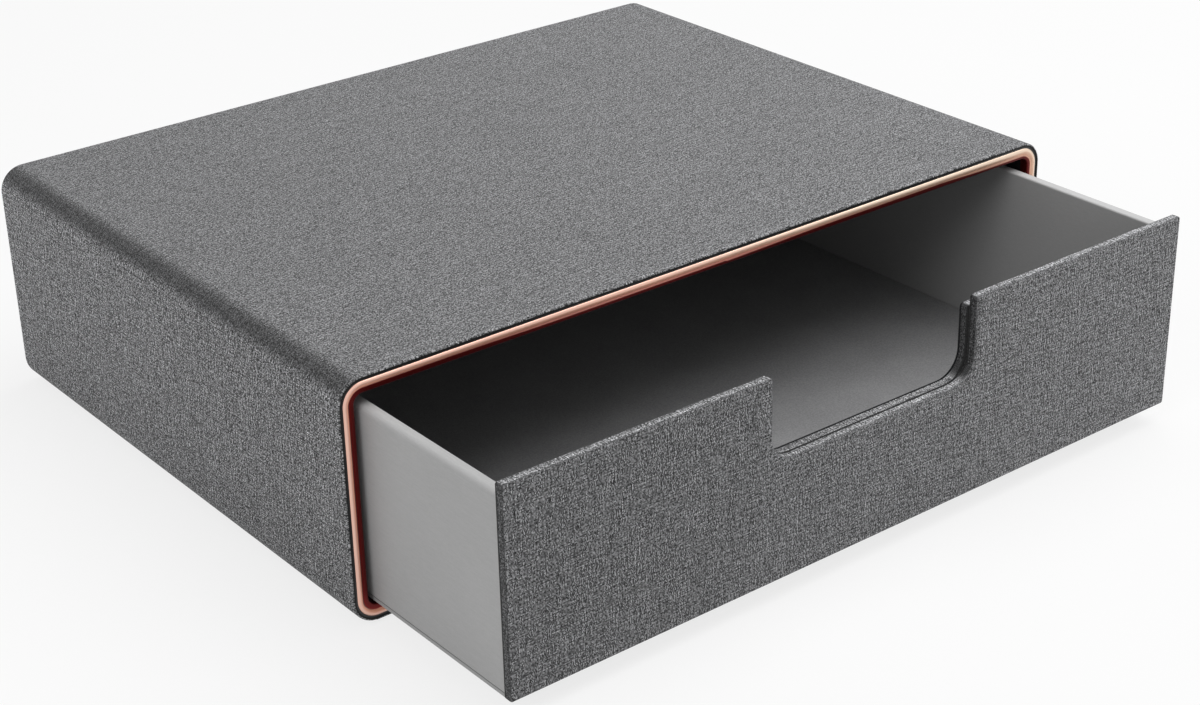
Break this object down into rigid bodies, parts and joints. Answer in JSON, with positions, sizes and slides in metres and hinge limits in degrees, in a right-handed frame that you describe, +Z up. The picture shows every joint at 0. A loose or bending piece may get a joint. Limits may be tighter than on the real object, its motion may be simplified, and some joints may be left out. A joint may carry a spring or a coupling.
{
  "type": "file box with drawer",
  "caption": "Low fabric-covered file box for a desk: a rounded sleeve with a metal-trimmed mouth and a paper drawer with a finger notch.",
  "frame": {"origin": "middle of the casing's underside, on the surface that the box stands on", "axes": "+X to the right as seen facing the drawer, +Y from the drawer's front towards the back, +Z up"},
  "size_m": [0.335, 0.329, 0.0945],
  "materials": {
    "mdf": "raw fibreboard",
    "linen_sheet": "heather grey linen-faced sheet",
    "pale_sheet": "matt light grey coated sheet",
    "black_lining": "black flock",
    "grey_felt": "mid grey felt",
    "black_felt": "black felt",
    "rose_gold": "polished rose gold plating",
    "red_binding": "dark red metallic foil"
  },
  "bodies": {
    "casing": {"casing_top_board": "mdf", "casing_bottom_board": "mdf", "casing_left_board": "mdf", "casing_right_board": "mdf", "casing_back_board": "mdf", "casing_cover": "linen_sheet", "casing_back_cover": "linen_sheet", "casing_lining": "black_lining", "casing_back_lining": "black_lining", "casing_floor_felt": "black_felt", "base_felt": "black_felt", "edge_trim": "rose_gold", "mouth_binding": "red_binding"},
    "drawer": {"front_panel_board": "mdf", "front_panel_cover": "linen_sheet", "tray_front_board": "mdf", "tray_front_cover": "linen_sheet", "tray_front_lining": "black_lining", "tray_left_board": "mdf", "tray_right_board": "mdf", "tray_back_board": "mdf", "tray_wrap": "pale_sheet", "tray_bottom_board": "mdf", "tray_floor_liner": "grey_felt", "tray_base_sheet": "pale_sheet"}
  },
  "joints": [
    {"name": "drawer_slide", "type": "slide", "parent": "casing", "child": "drawer", "axis": [0, -1, 0], "range_m": [-0.078, 0.18]}
  ]
}
